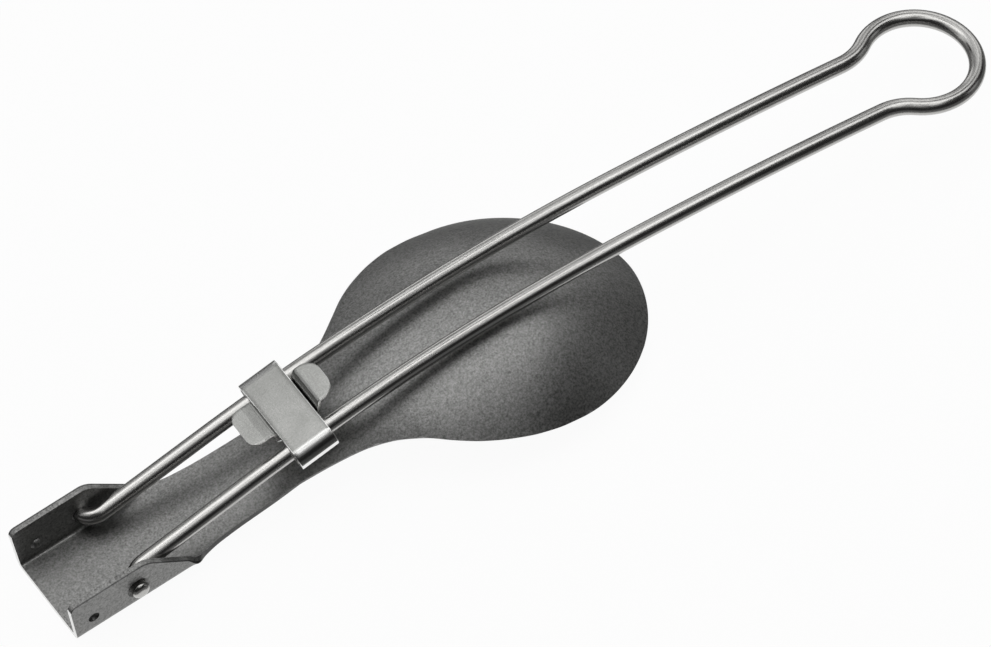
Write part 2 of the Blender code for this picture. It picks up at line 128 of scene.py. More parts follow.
# Rows along the head's grid, columns across half of it, and sides of the round cutters
EAR_CORNER_ROWS = 9
EAR_TOP_ROWS = 80
EAR_SLOPE_ROWS = 34
NECK_ROWS = 46
BOWL_ROWS = 70
TIP_ROWS = 44
FLOOR_COLUMNS = 26
FOLD_COLUMNS = 7
EAR_COLUMNS = 40
PIN_SIDES = 64
PUNCH_SIDES = 48

# Wire handle, in the hinge's frame: X along the folded handle
WIRE_RADIUS = 1.25 * MM
LEG_HALF_AT_EARS = 5.45 * MM
LEG_HALF = 5.25 * MM
LEG_TAPER_LENGTH = 48.0 * MM
EAR_BEND_RADIUS = 2.6 * MM
STUB_REACH = 9.5 * MM
STUB_HEAD = 1.35 * MM
STUB_SHARES = ((0.0, 0.4), (0.04, 0.64), (0.11, 0.83), (0.22, 0.97), (0.36, 1.07), (0.52, 1.1),
               (0.75, 1.05), (1.0, 1.0))
LOOP_RADIUS = 8.55 * MM
LOOP_NECK_RADIUS = 8.0 * MM
HANDLE_REACH = 139.9 * MM
ROOT_ANGLE = math.radians(8.9)
ROOT_STRAIGHT = 20.0 * MM
ARCH_RADIUS = 238.0 * MM
ARCH_LENGTH = 68.5 * MM
TAIL_RADIUS = 560.0 * MM
WIRE_SIDES = 40
WIRE_STEP = 1.6 * MM
ARC_STEP = math.radians(4.5)

# Slide lock, in the lock's frame on the wires; the two spans of painted highlight on the rolls'
# shoulders are degrees round a roll
LOCK_SHEET = 0.5 * MM
LOCK_LENGTH = 6.4 * MM
LOCK_FROM_PIVOT = 31.8 * MM
LOCK_TRAVEL = 15.0 * MM
RUNNING_GAP = 0.25 * MM
SEAT_GAP = 0.3 * MM
SLEEVE_SIDE = 8.45 * MM
SLEEVE_TOP = 1.85 * MM
SLEEVE_BOTTOM = -2.15 * MM
# Painted highlight: the sleeve's underside below this height, and the rolls' shoulders at this share
# over these spans
SLEEVE_HIGHLIGHT_BELOW = 0.05 * MM
SHOULDER_HIGHLIGHT = 0.5
SHOULDER_HIGHLIGHT_GROWS = (4, 14)
SHOULDER_HIGHLIGHT_FADES = (28, 75)
LOCK_LIP = 3.0 * MM
TONGUE_HALF = 3.38 * MM
TAB_RISE = 1.45 * MM
FORE_TAB_LENGTH = 3.0 * MM
AFT_TAB_LENGTH = 2.25 * MM
AFT_CREASE_RUN = 1.5 * MM
AFT_CREASE_DROP = 0.12 * MM
FORE_RISER_RUN = 0.85 * MM
AFT_RISER_RUN = 0.15 * MM
RISER_START = 0.25 * MM
TAB_BEND_RADIUS = 0.36 * MM
FORE_TAB_ROUNDING = 2.4 * MM
AFT_TAB_ROUNDING = 1.7 * MM
LOCK_EDGE_BEVEL = 0.12 * MM
ROLL_SHARE = 0.498
ROLL_STEPS = 18
SLEEVE_ROWS = 8
TAB_BEND_STEPS = 6
TAB_TIP_STEPS = 12
TONGUE_COLUMNS = 16


def smooth_value(t, run, ends, slopes):
    """Value at a share t of a run, from the values and slopes at its two ends."""
    rest = 1 - t
    start = ends[0] * (1 + 2 * t) * rest * rest + slopes[0] * run * t * rest * rest
    end = ends[1] * (3 - 2 * t) * t * t - slopes[1] * run * t * t * rest
    return start + end


def smooth_curve(knots):
    """A curve through the knots that never overshoots them."""
    xs = [knot[0] for knot in knots]
    ys = [knot[1] for knot in knots]
    steps = [(ys[i + 1] - ys[i]) / (xs[i + 1] - xs[i]) for i in range(len(xs) - 1)]
    slopes = [steps[0]]
    for before, after in zip(steps, steps[1:]):
        slopes.append(0 if before * after <= 0 else 2 * before * after / (before + after))
    slopes.append(steps[-1])

    def value(x):
        x = min(max(x, xs[0]), xs[-1])
        i = max(j for j in range(len(xs) - 1) if xs[j] <= x)
        run = xs[i + 1] - xs[i]
        return smooth_value((x - xs[i]) / run, run, ys[i:i + 2], slopes[i:i + 2])

    return value


def soft_step(low, high, value):
    """0 below low, 1 above high and a smooth change between."""
    t = min(max((value - low) / (high - low), 0), 1)
    return t * t * (3 - 2 * t)


def spread(start, end, count):
    """Even places from start to end, start left out."""
    return [start + (end - start) * (i + 1) / count for i in range(count)]


neck_width = smooth_curve(NECK_WIDTH_SHARES)
bowl_width = smooth_curve(BOWL_WIDTH_SHARES)
neck_crown = smooth_curve(NECK_CROWN_SHARES)
bowl_crown = smooth_curve(BOWL_CROWN_SHARES)
neck_edge = smooth_curve(NECK_EDGE_SHARES)
bowl_edge = smooth_curve(BOWL_EDGE_SHARES + ((1.0, -BOWL_EDGE_DROP / (BOWL_SHOULDER_HEIGHT - SHEET)),))


def ground_matrix():
    """Turns the head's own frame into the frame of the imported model."""
    under = frame["record"]["mounts"][0]["axis"]
    turn = Matrix.Rotation(-math.atan2(under[0], -under[2]), 4, "Y")
    hinge = Vector(frame["joints"][0]["pos_m"])
    return Matrix.Translation(hinge - turn @ Vector((PIVOT_FROM_END, 0, PIVOT_HEIGHT))) @ turn


GROUND = ground_matrix()
TO_HEAD = GROUND.inverted()
HINGE = GROUND @ Matrix.Translation((PIVOT_FROM_END, 0, PIVOT_HEIGHT))


def half_width(x):
    """Half the blank's width along the channel's floor, the neck and the rear of the bowl."""
    if x < WAIST_X:
        share = neck_width((x - CHANNEL_LENGTH) / NECK_LENGTH)
        return WAIST_HALF + share * (CHANNEL_HALF - EDGE_STEP - WAIST_HALF)
    return WAIST_HALF + bowl_width((x - WAIST_X) / BOWL_RISE_LENGTH) * (BOWL_HALF - WAIST_HALF)


def edge_height(x):
    """Height of the outer face at the blank's edge."""
    rise = BOWL_SHOULDER_HEIGHT - SHEET
    if x < WAIST_X:
        return SHEET + rise * neck_edge((x - CHANNEL_LENGTH) / NECK_LENGTH)
    return SHEET + rise * bowl_edge((x - WAIST_X) / BOWL_RISE_LENGTH)


def crown_height(x):
    """Height of the outer face on the centre line."""
    rise = BOWL_CROWN_HEIGHT - SHEET
    if x < WAIST_X:
        return SHEET + rise * neck_crown((x - CHANNEL_LENGTH) / NECK_LENGTH)
    return SHEET + rise * bowl_crown((x - WAIST_X) / BOWL_RISE_LENGTH)


def rear_point(x, across):
    """Outer face up to the widest row; across runs from -1 to 1."""
    edge = edge_height(x)
    dome = (crown_height(x) - edge) * (1 - abs(across) ** BOWL_WALL_ROUNDNESS)
    return Vector((x, across * half_width(x), edge + dome))


def tip_point(along, across):
    """Outer face ahead of the widest row; along runs from 0 there to 1 on the rim."""
    u = along * math.sqrt(1 - across * across / 2)
    v = across * math.sqrt(1 - along * along / 2)
    radius = math.hypot(u, v)
    if radius > 0:
        sharp = abs(u) ** BOWL_TIP_ROUNDNESS + abs(v) ** BOWL_TIP_ROUNDNESS
        scale = radius / sharp ** (1 / BOWL_TIP_ROUNDNESS)
        u *= scale
        v *= scale
    edge = edge_height(WIDEST_X) - (BOWL_TIP_DROP - BOWL_EDGE_DROP) * u
    dome = (crown_height(WIDEST_X) - edge_height(WIDEST_X)) * (1 - radius ** BOWL_WALL_ROUNDNESS)
    return Vector((WIDEST_X + u * BOWL_TIP_LENGTH, v * half_width(WIDEST_X), edge + dome))


def folded_point(x, w):
    """Middle of the channel's sheet, w along it from the centre line."""
    side = math.copysign(1, w)
    turn = max(0, abs(w) - FOLD_CENTRE_Y) / FOLD_MID_RADIUS
    y = min(abs(w), FOLD_CENTRE_Y) + FOLD_MID_RADIUS * math.sin(turn)
    return Vector((x, side * y, FOLD_CENTRE_Z - FOLD_MID_RADIUS * math.cos(turn)))


def fold_share(x):
    """1 where the channel is fully folded, 0 where the sheet is flat again."""
    return 1 - soft_step(UNFOLD_START, UNFOLD_END, x)


def channel_rows():
    """Places along the channel, close together at the ears' rounded corners."""
    rows = [EAR_CORNER_RADIUS * (1 - math.cos(math.pi / 2 * i / EAR_CORNER_ROWS))
            for i in range(EAR_CORNER_ROWS + 1)]
    rows += spread(EAR_CORNER_RADIUS, EAR_TOP_LENGTH, EAR_TOP_ROWS)
    return rows + spread(EAR_TOP_LENGTH, CHANNEL_LENGTH, EAR_SLOPE_ROWS)


def sheet_columns():
    """Places across the head's sheet from edge to edge, even on the floor and on each fold."""
    floor = [FOLD_CENTRE_Y * (i / FLOOR_COLUMNS) for i in range(FLOOR_COLUMNS)]
    fold = [FOLD_CENTRE_Y + (FLOOR_REACH - FOLD_CENTRE_Y) * i / FOLD_COLUMNS
            for i in range(FOLD_COLUMNS + 1)]
    half = floor + fold
    return [-w for w in reversed(half[1:])] + half


def sheet_grid(rows, columns):
    """A bmesh grid and its vertices by row and column."""
    builder = bmesh.new()
    bmesh.ops.create_grid(builder, x_segments=rows, y_segments=columns, size=1)
    places = {}
    for vert in builder.verts:
        row = round((vert.co.x + 1) / 2 * rows)
        column = round((vert.co.y + 1) / 2 * columns)
        places[row, column] = vert
    return builder, places


def ease_line(line):
    """Carry a lengthwise line's height smoothly between its second and last but one points."""
    start, end = line[1].co, line[-2].co
    run = end.x - start.x
    slope_in = (start.z - line[0].co.z) / (start.x - line[0].co.x)
    slope_out = (line[-1].co.z - end.z) / (line[-1].co.x - end.x)
    for vert in line[2:-2]:
        t = (vert.co.x - start.x) / run
        vert.co.z = smooth_value(t, run, (start.z, end.z), (slope_in, slope_out))


def ease_dome(builder):
    """Smooth the bowl round its crown and tip, and leave its rim where it is."""
    for _ in range(DOME_EASING_STEPS):
        dome = [vert for vert in builder.verts
                if vert.co.x > WIDEST_X - DOME_EASING_REACH and not vert.is_boundary]
        bmesh.ops.smooth_vert(builder, verts=dome, factor=0.5, use_axis_x=True, use_axis_y=True,
                              use_axis_z=True)


def outer_skin(rows, tips, reach):
    """The unfolded head's outer face with its rear and tip joined smoothly, and its vertices."""
    last_row = len(rows) + len(tips) - 1
    builder, places = sheet_grid(last_row, len(reach) - 1)
    for (row, column), vert in places.items():
        share = reach[column] / FLOOR_REACH
        if row < len(rows):
            vert.co = rear_point(rows[row], share)
        else:
            vert.co = tip_point(math.sin(tips[row - len(rows)]), share)
    behind = max(row for row, x in enumerate(rows) if x < WIDEST_X - SEAM_REACH)
    ahead = len(rows) + min(i for i, tip in enumerate(tips)
                            if math.sin(tip) * BOWL_TIP_LENGTH > SEAM_REACH)
    for column in range(len(reach)):
        ease_line([places[row, column] for row in range(behind - 1, ahead + 2)])
    for column in (0, len(reach) - 1):
        bmesh.ops.dissolve_verts(builder, verts=[places.pop((last_row, column))])
    ease_dome(builder)
    builder.normal_update()
    return builder, places


def head_sheet():
    """The whole head's middle surface: floor, folds, neck and bowl, with both ears."""
    channel = channel_rows()
    rows = channel + spread(CHANNEL_LENGTH, WAIST_X, NECK_ROWS)
    rows += spread(WAIST_X, WIDEST_X, BOWL_ROWS)
    reach = sheet_columns()
    builder, places = outer_skin(rows, spread(0, math.pi / 2, TIP_ROWS), reach)
    middle = {key: vert.co - vert.normal * (SHEET / 2) for key, vert in places.items()}
    for (row, column), vert in places.items():
        vert.co = middle[row, column]
        if row < len(rows) and fold_share(rows[row]) > 0:
            vert.co = vert.co.lerp(folded_point(rows[row], reach[column]), fold_share(rows[row]))
    for column in (0, len(reach) - 1):
        add_ear(builder, [places[row, column].co.copy() for row in range(len(channel))], channel)
    bmesh.ops.remove_doubles(builder, verts=builder.verts, dist=WELD_REACH)
    return builder


def ear_top(x):
    """Height of an ear's top edge."""
    if x < EAR_CORNER_RADIUS:
        rest = EAR_CORNER_RADIUS - x
        return EAR_HEIGHT - EAR_CORNER_RADIUS + math.sqrt(EAR_CORNER_RADIUS ** 2 - rest ** 2)
    foot = folded_point(x, FLOOR_REACH).z
    slope = foot + (EAR_HEIGHT - foot) * (CHANNEL_LENGTH - x) / (CHANNEL_LENGTH - EAR_TOP_LENGTH)
    close = max(0, 1 - abs(EAR_HEIGHT - slope) / EAR_BEND_ROUNDING)
    return min(EAR_HEIGHT, slope) - close * close * EAR_BEND_ROUNDING / 4


def add_ear(builder, feet, rows):
    """An ear's middle surface that grows from the fold, with its pressed dimple."""
    ear, places = sheet_grid(len(rows) - 1, EAR_COLUMNS)
    side = math.copysign(1, feet[0].y)
    for (row, step), vert in places.items():
        share = fold_share(rows[row])
        up = Vector((0, side * math.sin(EAR_FLARE), math.cos(EAR_FLARE)))
        up = up.lerp(Vector((0, side, 0)), 1 - share).normalized()
        full = (ear_top(rows[row]) - folded_point(0, FLOOR_REACH).z) / math.cos(EAR_FLARE)
        vert.co = feet[row] + up * (full * step / EAR_COLUMNS)
        away = math.hypot(vert.co.x - DIMPLE_FROM_END, vert.co.z - DIMPLE_HEIGHT)
        wall = soft_step(DIMPLE_FLOOR_SHARE, DIMPLE_WALL_SHARE, away / DIMPLE_RADIUS)
        dent = DIMPLE_DEPTH * (1 - wall)
        vert.co -= Vector((0, side * math.cos(EAR_FLARE), -math.sin(EAR_FLARE))) * dent
    if side < 0:
        bmesh.ops.reverse_faces(ear, faces=ear.faces)
    mesh = bpy.data.meshes.new("ear")
    ear.to_mesh(mesh)
    ear.free()
    builder.from_mesh(mesh)
    bpy.data.meshes.remove(mesh)


def add_piece(name, builder, place):
    """A new object at the origin whose mesh holds its place."""
    builder.transform(place)
    mesh = bpy.data.meshes.new(name)
    builder.to_mesh(mesh)
    builder.free()
    piece = bpy.data.objects.new(name, mesh)
    bpy.context.scene.collection.objects.link(piece)
    return piece


def settle(piece, sharp_past, finish, face_look):
    """Apply a piece's modifiers, mark how its faces look and shade it smooth."""
    for _ in range(FACE_KINDS):
        piece.data.materials.append(finish)
    shapes = bpy.context.evaluated_depsgraph_get()
    mesh = bpy.data.meshes.new_from_object(piece.evaluated_get(shapes))
    piece.modifiers.clear()
    piece.data = mesh
    look = mesh.attributes.new("edge_look", "FLOAT", "FACE")
    for face in mesh.polygons:
        look.data[face.index].value = face_look(face.material_index, face.center)
        face.material_index = 0
    mesh.materials.clear()
    mesh.materials.append(finish)
    mesh.shade_smooth()
    mesh.set_sharp_from_angle(angle=math.radians(sharp_past))


def thicken(piece, thickness):
    """Give a middle surface its sheet, half to each side."""
    wall = piece.modifiers.new("sheet", "SOLIDIFY")
    wall.thickness = thickness
    wall.offset = 0
    wall.use_even_offset = True
    wall.material_offset_rim = CUT_EDGE


def round_edges(piece, width):
    """Break the sharp edges and mark the rounding."""
    bevel = piece.modifiers.new("edges", "BEVEL")
    bevel.width = width
    bevel.segments = ROUNDING_SEGMENTS
    bevel.limit_method = "ANGLE"
    bevel.angle_limit = math.radians(ROUNDED_PAST)
    bevel.use_clamp_overlap = True
    bevel.material = ROUNDING
    bevel.miter_outer = "MITER_ARC"


def lathe(profile, steps):
    """A closed round body from its profile: pairs of place along Y and radius."""
    builder = bmesh.new()
    verts = [builder.verts.new((radius, y, 0)) for y, radius in profile]
    edges = [builder.edges.new(pair) for pair in zip(verts, verts[1:])]
    bmesh.ops.spin(builder, geom=verts + edges, cent=(0, 0, 0), axis=(0, 1, 0),
                   angle=2 * math.pi, steps=steps, use_merge=True)
    bmesh.ops.remove_doubles(builder, verts=builder.verts, dist=WELD_REACH)
    bmesh.ops.recalc_face_normals(builder, faces=builder.faces)
    return builder


def pin_cutter():
    """The rod that opens the hole in each ear, wider at the outer faces."""
    face = CHANNEL_HALF + (PIVOT_HEIGHT - SHEET) * math.tan(EAR_FLARE)
    half = [(PIN_REACH, 0), (PIN_REACH, PIVOT_SINK_RADIUS), (face, PIVOT_SINK_RADIUS),
            (face - PIVOT_SINK_DEPTH, PIVOT_HOLE_RADIUS)]
    profile = half + [(-y, radius) for y, radius in reversed(half)]
    return add_piece("pin_cutter", lathe(profile, PIN_SIDES), HINGE)


def punch_cutter():
    """A round punch for each ear's dimple."""
    builder = bmesh.new()
    lean = (DIMPLE_HEIGHT - SHEET) * math.tan(EAR_FLARE)
    punch = (DIMPLE_RADIUS ** 2 + PUNCH_REACH ** 2) / (2 * PUNCH_REACH)
    for side in (-1, 1):
        face = CHANNEL_HALF + lean - PUNCH_REACH + punch
        place = Matrix.Translation((DIMPLE_FROM_END, side * face, DIMPLE_HEIGHT))
        bmesh.ops.create_uvsphere(builder, u_segments=PUNCH_SIDES, v_segments=PUNCH_SIDES // 2,
                                  radius=punch, matrix=place)
    return add_piece("punch_cutter", builder, GROUND)


def cut(piece, cutter):
    """Take a cutter's shape out of a piece."""
    hole = piece.modifiers.new("hole", "BOOLEAN")
    hole.operation = "DIFFERENCE"
    hole.solver = "EXACT"
    hole.object = cutter


def head_face_look(kind, centre):
    """Pale cut-metal colour on the cut edge at the channel's free end, painted dark edge shade on the
    head's other edges.
    """
    if kind == 0:
        return 0.0
    sheared = kind == CUT_EDGE and (TO_HEAD @ centre).x < FREE_END_REACH
    return BARE_AND_HIGHLIGHT if sheared else PAINTED_SHADE


def make_head(finish):
    """Bowl, neck, channel and ears in one bent sheet."""
    piece = add_piece("head_skin", head_sheet(), GROUND)
    thicken(piece, SHEET)
    cutters = [pin_cutter(), punch_cutter()]
    for cutter in cutters:
        cut(piece, cutter)
    round_edges(piece, RIM_BEVEL)
    settle(piece, SHEET_SHARP_PAST, finish, head_face_look)
    for cutter in cutters:
        bpy.data.objects.remove(cutter, do_unlink=True)
    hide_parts("spoon_head")
    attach(piece, "head")


def arch_point(u):
    """Wire centre line seen from the side, u along it from the hinge; also its slope."""
    x = min(u, ROOT_STRAIGHT) * math.cos(ROOT_ANGLE)
    z = min(u, ROOT_STRAIGHT) * math.sin(ROOT_ANGLE)
    slope = ROOT_ANGLE
    stretches = ((ROOT_STRAIGHT, ARCH_LENGTH, ARCH_RADIUS),
                 (ROOT_STRAIGHT + ARCH_LENGTH, HANDLE_REACH, TAIL_RADIUS))
    for start, length, radius in stretches:
        run = min(max(u - start, 0), length)
        after = slope - run / radius
        x += radius * (math.sin(slope) - math.sin(after))
        z += radius * (math.cos(after) - math.cos(slope))
        slope = after
    return x, z, slope


def arc_points(centre, radius, start, end):
    """Points along an arc in the wire's flat plan."""
    steps = max(2, round(abs(end - start) / ARC_STEP))
    turns = [start + (end - start) * i / steps for i in range(steps + 1)]
    return [(centre[0] + radius * math.cos(turn), centre[1] + radius * math.sin(turn))
            for turn in turns]


def line_points(start, end):
    """Points between two ends, both left out."""
    steps = max(1, round(math.dist(start, end) / WIRE_STEP))
    return [(start[0] + (end[0] - start[0]) * i / steps, start[1] + (end[1] - start[1]) * i / steps)
            for i in range(1, steps)]


def wire_plan():
    """Half the wire's flat plan, from the ear's bend to the loop's far point."""
    bend_centre = (EAR_BEND_RADIUS, LEG_HALF_AT_EARS + EAR_BEND_RADIUS)
    bend = arc_points(bend_centre, EAR_BEND_RADIUS, math.pi, math.pi * 3 / 2)
    reach = LOOP_RADIUS + LOOP_NECK_RADIUS
    neck_y = LEG_HALF + LOOP_NECK_RADIUS
    neck_centre = (HANDLE_REACH - math.sqrt(reach ** 2 - neck_y ** 2), neck_y)
    lean = math.atan2(neck_y, HANDLE_REACH - neck_centre[0])
    neck = arc_points(neck_centre, LOOP_NECK_RADIUS, -math.pi / 2, -lean)
    loop = arc_points((HANDLE_REACH, 0), LOOP_RADIUS, math.pi - lean, 0)
    taper_end = (EAR_BEND_RADIUS + LEG_TAPER_LENGTH, LEG_HALF)
    plan = bend + line_points(bend[-1], taper_end) + [taper_end]
    return plan + line_points(taper_end, neck[0]) + neck + loop[1:]


def wire_path():
    """The wire's centre line with the share of its radius at each point."""
    half = [(0, STUB_REACH - STUB_HEAD * share, 0, size) for share, size in STUB_SHARES]
    for u, y in wire_plan():
        x, z, _ = arch_point(u)
        half.append((x, y, z, 1.0))
    return half + [(x, -y, z, size) for x, y, z, size in reversed(half[:-1])]


def grow_ring(builder, ring, edges):
    """A bar's next ring, its points in the order of the ring before, and its edges."""
    grown = bmesh.ops.extrude_edge_only(builder, edges=edges)["geom"]
    next_to = {edge.other_vert(vert): vert for vert in grown
               if isinstance(vert, bmesh.types.BMVert) for edge in vert.link_edges}
    ring = [next_to[vert] for vert in ring]
    points = set(ring)
    edges = [edge for edge in grown
             if isinstance(edge, bmesh.types.BMEdge) and points.issuperset(edge.verts)]
    return ring, edges


def tube(path, radius, sides):
    """A round bar along a path, with how far along and round it each point lies."""
    builder = bmesh.new()
    lay = builder.verts.layers.float_vector.new("wire_lay")
    bmesh.ops.create_circle(builder, cap_ends=False, segments=sides, radius=1)
    first = ring = list(builder.verts)
    edges = list(builder.edges)
    round_places = [vert.co.copy() for vert in ring]
    points = [Vector(point[:3]) for point in path]
    side = Vector((1, 0, 0))
    walked = 0
    for i, point in enumerate(points):
        ahead = (points[min(i + 1, len(points) - 1)] - points[max(i - 1, 0)]).normalized()
        side = (side - ahead * side.dot(ahead)).normalized()
        up = ahead.cross(side)
        if i:
            walked += (point - points[i - 1]).length
            ring, edges = grow_ring(builder, ring, edges)
        for vert, place in zip(ring, round_places):
            vert.co = point + (side * place.x + up * place.y) * (radius * path[i][3])
            vert[lay] = (walked, place.x * radius, place.y * radius)
    for end in (first, ring):
        bmesh.ops.contextual_create(builder, geom=end)
    bmesh.ops.recalc_face_normals(builder, faces=builder.faces)
    return builder


def make_handle(finish):
    """The bent wire with its peened ends and closed loop."""
    piece = add_piece("handle_wire", tube(wire_path(), WIRE_RADIUS, WIRE_SIDES), HINGE)
    settle(piece, WIRE_SHARP_PAST, finish, lambda kind, centre: 0.0)
    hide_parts("wire_handle")
    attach(piece, "handle")


def lock_matrix():
    """The lock's place on the wires, turned along its slide."""
    x, z, _ = arch_point(LOCK_FROM_PIVOT)
    stop_x, stop_z, _ = arch_point(LOCK_FROM_PIVOT - LOCK_TRAVEL)
    slope = math.atan2(z - stop_z, x - stop_x)
    return HINGE @ Matrix.Translation((x, 0, z)) @ Matrix.Rotation(-slope, 4, "Y")


LOCK_SEAT = lock_matrix()
TO_LOCK = LOCK_SEAT.inverted()


def rounded_path(corners, radius, steps):
    """A flat path with each inner corner turned into an arc."""
    path = [Vector(corners[0])]
    for before, corner, after in zip(corners, corners[1:], corners[2:]):
        corner = Vector(corner)
        back = (Vector(before) - corner).normalized()
        ahead = (Vector(after) - corner).normalized()
        half = back.angle(ahead) / 2
        trim = radius / math.tan(half)
        centre = corner + (back + ahead).normalized() * (radius / math.sin(half))
        start = corner + back * trim - centre
        sweep = start.angle_signed(corner + ahead * trim - centre)
        for i in range(steps + 1):
            path.append(centre + Matrix.Rotation(-sweep * i / steps, 2) @ start)
    path.append(Vector(corners[-1]))
    return path


def sleeve_outline():
    """Middle line of the sleeve's wall, rolled round each wire: Y across, Z up."""
    wall = LOCK_SHEET / 2
    top = SLEEVE_TOP - wall
    low = SLEEVE_BOTTOM + wall
    side = SLEEVE_SIDE - wall
    lip = side - LOCK_LIP
    corners = [(-lip, low), (-side, low), (-side, top), (side, top), (side, low), (lip, low)]
    return rounded_path(corners, (top - low) * ROLL_SHARE, ROLL_STEPS)


def sleeve_face_look(kind, centre):
    """Pale cut-metal colour on the sleeve's edges, and the same pale colour as a painted highlight
    under its rolls and, less so, over the rolls' shoulders.
    """
    place = TO_LOCK @ centre
    # Painted highlight under the rolls and over their shoulders
    if kind or place.z < SLEEVE_HIGHLIGHT_BELOW:
        return BARE_AND_HIGHLIGHT
    radius = (SLEEVE_TOP - SLEEVE_BOTTOM) / 2
    turn = math.degrees(math.acos(min(1.0, max(0.0, 1 - (SLEEVE_TOP - place.z) / radius))))
    fade = 1 - soft_step(*SHOULDER_HIGHLIGHT_FADES, turn)
    return SHOULDER_HIGHLIGHT * soft_step(*SHOULDER_HIGHLIGHT_GROWS, turn) * fade


def make_sleeve(finish):
    """The lock's bent sheet round both legs."""
    outline = sleeve_outline()
    builder, places = sheet_grid(SLEEVE_ROWS, len(outline) - 1)
    for (row, column), vert in places.items():
        y, z = outline[column]
        vert.co = Vector((LOCK_LENGTH * (row / SLEEVE_ROWS - 0.5), y, z))
    bmesh.ops.recalc_face_normals(builder, faces=builder.faces)
    piece = add_piece("sleeve_sheet", builder, LOCK_SEAT)
    thicken(piece, LOCK_SHEET)
    round_edges(piece, LOCK_EDGE_BEVEL)
    settle(piece, SHEET_SHARP_PAST, finish, sleeve_face_look)
    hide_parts("lock_sleeve")
    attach(piece, "lock")


def tongue_outline():
    """Middle line of the tongue from its aft tab to its fore tab: X along, Z up."""
    half = LOCK_LENGTH / 2
    under = WIRE_RADIUS + RUNNING_GAP - SEAT_GAP - LOCK_SHEET / 2
    tab = under + SEAT_GAP + LOCK_SHEET + TAB_RISE
    aft = -(half + RISER_START)
    fore = half + RISER_START
    crease = aft - AFT_RISER_RUN - AFT_CREASE_RUN
    corners = [(crease - AFT_TAB_LENGTH, tab), (crease, tab),
               (aft - AFT_RISER_RUN, tab - AFT_CREASE_DROP), (aft, under), (fore, under),
               (fore + FORE_RISER_RUN, tab), (fore + FORE_RISER_RUN + FORE_TAB_LENGTH, tab)]
    return rounded_path(corners, TAB_BEND_RADIUS, TAB_BEND_STEPS)


def tab_half_width(distance, rounding):
    """Half the tab's width at a distance from its tip."""
    inside = max(0, rounding - distance)
    return TONGUE_HALF - rounding + math.sqrt(max(0, rounding ** 2 - inside ** 2))


def make_tongue(finish):
    """The strip under the sleeve's top with a thumb tab at each end."""
    outline = tongue_outline()
    first, last = outline[0], outline[-1]
    cuts = [1 - math.cos(math.pi / 2 * i / TAB_TIP_STEPS) for i in range(1, TAB_TIP_STEPS)]
    path = [first] + [first + Vector((AFT_TAB_ROUNDING * cut, 0)) for cut in cuts] + outline[1:-1]
    path += [last - Vector((FORE_TAB_ROUNDING * cut, 0)) for cut in reversed(cuts)] + [last]
    builder, places = sheet_grid(len(path) - 1, TONGUE_COLUMNS)
    for (row, column), vert in places.items():
        point = path[row]
        half = min(tab_half_width(point.x - first.x, AFT_TAB_ROUNDING),
                   tab_half_width(last.x - point.x, FORE_TAB_ROUNDING))
        vert.co = Vector((point.x, half * (2 * column / TONGUE_COLUMNS - 1), point.y))
    bmesh.ops.recalc_face_normals(builder, faces=builder.faces)
    piece = add_piece("tongue_strip", builder, LOCK_SEAT)
    thicken(piece, LOCK_SHEET)
    round_edges(piece, LOCK_EDGE_BEVEL)
    settle(piece, SHEET_SHARP_PAST, finish, lambda kind, centre: BARE_AND_HIGHLIGHT if kind else 0.0)
    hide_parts("lock_tongue")
    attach(piece, "lock")


class Signal:
    """A node's output that takes part in expressions."""

    def __init__(self, tree, socket):
        self.tree = tree
        self.socket = socket

    def math(self, operation, first, second):
        """A Math node fed by two signals or numbers."""
        item = self.tree.nodes.new("ShaderNodeMath")
        item.operation = operation
        for socket, value in zip(item.inputs, (first, second)):
            if isinstance(value, Signal):
                self.tree.links.new(value.socket, socket)
            else:
                socket.default_value = value
        return Signal(self.tree, item.outputs[0])

    def __add__(self, other):
        return self.math("ADD", self, other)

    def __radd__(self, other):
        return self.math("ADD", other, self)

    def __sub__(self, other):
        return self.math("SUBTRACT", self, other)

    def __rsub__(self, other):
        return self.math("SUBTRACT", other, self)

    def __mul__(self, other):
        return self.math("MULTIPLY", self, other)

    def __rmul__(self, other):
        return self.math("MULTIPLY", other, self)


